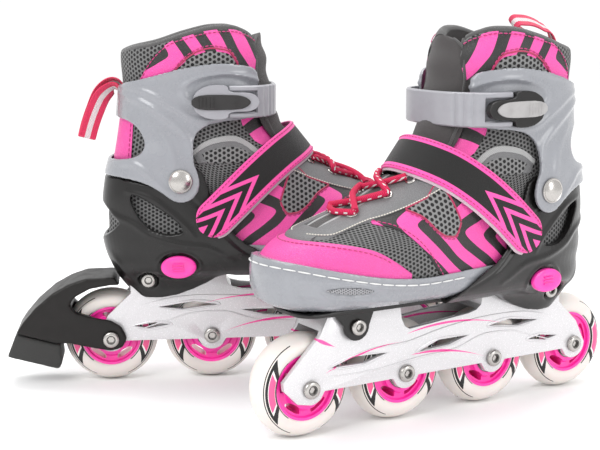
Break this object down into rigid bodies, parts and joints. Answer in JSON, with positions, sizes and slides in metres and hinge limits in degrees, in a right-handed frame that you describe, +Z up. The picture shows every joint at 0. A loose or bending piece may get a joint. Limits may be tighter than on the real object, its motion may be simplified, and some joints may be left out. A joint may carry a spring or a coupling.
{
  "type": "inline skates",
  "caption": "Pair of size-adjustable inline skates: padded fabric boots in moulded shells with hinged cuffs, buckle and instep straps, wheel frames, and a heel brake on the right skate.",
  "frame": {"origin": "middle of the pair's bounding box, on the floor under the wheels", "axes": "+X to the viewer's right across the pair, which is its longest side; +Y away from the viewer; +Z up. The right skate's toe points 6.5 degrees left of +X, and the left skate's toe points 211 degrees round from +X."},
  "size_m": [0.4434, 0.2296, 0.267],
  "materials": {
    "frame_alloy": "white gloss",
    "black_shell": "gloss",
    "boot_mesh": "mesh and padding",
    "strap_webbing": "hook-and-loop strap",
    "bolt_steel": "bright",
    "axle_steel": "bright zinc",
    "black_brake": "satin",
    "brake_rubber": "matt",
    "boot_collar": "printed fabric with plush lining",
    "tongue": "padded fabric",
    "strap_plastic": "satin",
    "right_lever": "gloss",
    "grey_shell": "satin gloss",
    "boot_upper": "mesh with leatherette toe",
    "lace": "woven",
    "pink_button": "gloss",
    "wheel_urethane": "cast urethane",
    "bearing_steel": "ground",
    "left_lever": "gloss"
  },
  "bodies": {
    "right_chassis": {"right_frame": "frame_alloy", "right_base_shell": "black_shell", "right_boot_quarter": "boot_mesh", "right_instep_strap": "strap_webbing", "right_outer_ankle_rivet": "bolt_steel", "right_inner_ankle_rivet": "bolt_steel", "right_rear_mount_bolt": "bolt_steel", "right_front_mount_bolt": "bolt_steel", "right_axle_1": "axle_steel", "right_axle_2": "axle_steel", "right_axle_3": "axle_steel", "right_axle_4": "axle_steel", "right_brake_arm": "black_brake", "right_brake_pad": "brake_rubber"},
    "right_cuff_group": {"right_cuff": "grey_shell", "right_boot_collar": "boot_collar", "right_tongue": "tongue", "right_power_strap": "strap_plastic"},
    "right_lever": {"right_buckle_lever": "right_lever"},
    "right_toe_group": {"right_toe_shell": "grey_shell", "right_boot_vamp": "boot_upper", "right_lace": "lace"},
    "right_button": {"right_size_button": "pink_button"},
    "right_wheel_1_group": {"right_wheel_1": "wheel_urethane", "right_bearings_1": "bearing_steel"},
    "right_wheel_2_group": {"right_wheel_2": "wheel_urethane", "right_bearings_2": "bearing_steel"},
    "right_wheel_3_group": {"right_wheel_3": "wheel_urethane", "right_bearings_3": "bearing_steel"},
    "right_wheel_4_group": {"right_wheel_4": "wheel_urethane", "right_bearings_4": "bearing_steel"},
    "left_chassis": {"left_frame": "frame_alloy", "left_base_shell": "black_shell", "left_boot_quarter": "boot_mesh", "left_instep_strap": "strap_webbing", "left_outer_ankle_rivet": "bolt_steel", "left_inner_ankle_rivet": "bolt_steel", "left_rear_mount_bolt": "bolt_steel", "left_front_mount_bolt": "bolt_steel", "left_axle_1": "axle_steel", "left_axle_2": "axle_steel", "left_axle_3": "axle_steel", "left_axle_4": "axle_steel"},
    "left_cuff_group": {"left_cuff": "grey_shell", "left_boot_collar": "boot_collar", "left_tongue": "tongue", "left_power_strap": "strap_plastic"},
    "left_lever": {"left_buckle_lever": "left_lever"},
    "left_toe_group": {"left_toe_shell": "grey_shell", "left_boot_vamp": "boot_upper", "left_lace": "lace"},
    "left_button": {"left_size_button": "pink_button"},
    "left_wheel_1_group": {"left_wheel_1": "wheel_urethane", "left_bearings_1": "bearing_steel"},
    "left_wheel_2_group": {"left_wheel_2": "wheel_urethane", "left_bearings_2": "bearing_steel"},
    "left_wheel_3_group": {"left_wheel_3": "wheel_urethane", "left_bearings_3": "bearing_steel"},
    "left_wheel_4_group": {"left_wheel_4": "wheel_urethane", "left_bearings_4": "bearing_steel"}
  },
  "joints": [
    {"name": "right_cuff_lean", "type": "hinge", "parent": "right_chassis", "child": "right_cuff_group", "pos_m": [-0.09157, 0.05663, 0.1555], "axis": [-0.1132, 0.9936, 0], "range_deg": [0, 8], "stiffness_Nm_per_rad": 6},
    {"name": "right_lever_swing", "type": "hinge", "parent": "right_cuff_group", "child": "right_lever", "pos_m": [-0.03524, 0.01715, 0.2115], "axis": [0, 0, 1], "range_deg": [0, 110]},
    {"name": "right_size_slide", "type": "slide", "parent": "right_chassis", "child": "right_toe_group", "axis": [0.9936, 0.1132, 0], "range_m": [-0.01, 0.01]},
    {"name": "right_button_press", "type": "slide", "parent": "right_chassis", "child": "right_button", "axis": [-0.1132, 0.9936, 0], "range_m": [0, 0.002], "stiffness_N_per_m": 800},
    {"name": "right_wheel_1_spin", "type": "hinge", "parent": "right_chassis", "child": "right_wheel_1_group", "pos_m": [-0.14374, 0.05068, 0.035], "axis": [-0.1132, 0.9936, 0], "continuous": true},
    {"name": "right_wheel_2_spin", "type": "hinge", "parent": "right_chassis", "child": "right_wheel_2_group", "pos_m": [-0.06922, 0.05917, 0.035], "axis": [-0.1132, 0.9936, 0], "continuous": true},
    {"name": "right_wheel_3_spin", "type": "hinge", "parent": "right_chassis", "child": "right_wheel_3_group", "pos_m": [0.0053, 0.06766, 0.035], "axis": [-0.1132, 0.9936, 0], "continuous": true},
    {"name": "right_wheel_4_spin", "type": "hinge", "parent": "right_chassis", "child": "right_wheel_4_group", "pos_m": [0.07982, 0.07615, 0.035], "axis": [-0.1132, 0.9936, 0], "continuous": true},
    {"name": "left_cuff_lean", "type": "hinge", "parent": "left_chassis", "child": "left_cuff_group", "pos_m": [0.14506, 0.00564, 0.1555], "axis": [0.515, -0.8572, 0], "range_deg": [0, 8], "stiffness_Nm_per_rad": 6},
    {"name": "left_lever_swing", "type": "hinge", "parent": "left_cuff_group", "child": "left_lever", "pos_m": [0.12441, -0.05997, 0.2115], "axis": [0, 0, -1], "range_deg": [0, 110]},
    {"name": "left_size_slide", "type": "slide", "parent": "left_chassis", "child": "left_toe_group", "axis": [-0.8572, -0.515, 0], "range_m": [-0.01, 0.01]},
    {"name": "left_button_press", "type": "slide", "parent": "left_chassis", "child": "left_button", "axis": [-0.515, 0.8572, 0], "range_m": [0, 0.002], "stiffness_N_per_m": 800},
    {"name": "left_wheel_1_spin", "type": "hinge", "parent": "left_chassis", "child": "left_wheel_1_group", "pos_m": [0.19006, 0.03268, 0.035], "axis": [0.515, -0.8572, 0], "continuous": true},
    {"name": "left_wheel_2_spin", "type": "hinge", "parent": "left_chassis", "child": "left_wheel_2_group", "pos_m": [0.12578, -0.00594, 0.035], "axis": [0.515, -0.8572, 0], "continuous": true},
    {"name": "left_wheel_3_spin", "type": "hinge", "parent": "left_chassis", "child": "left_wheel_3_group", "pos_m": [0.06149, -0.04457, 0.035], "axis": [0.515, -0.8572, 0], "continuous": true},
    {"name": "left_wheel_4_spin", "type": "hinge", "parent": "left_chassis", "child": "left_wheel_4_group", "pos_m": [-0.0028, -0.0832, 0.035], "axis": [0.515, -0.8572, 0], "continuous": true},
    {"name": "left_skate_lift", "type": "slide", "parent": "right_chassis", "child": "left_chassis", "axis": [0, 0, 1], "range_m": [0, 0.3]}
  ]
}
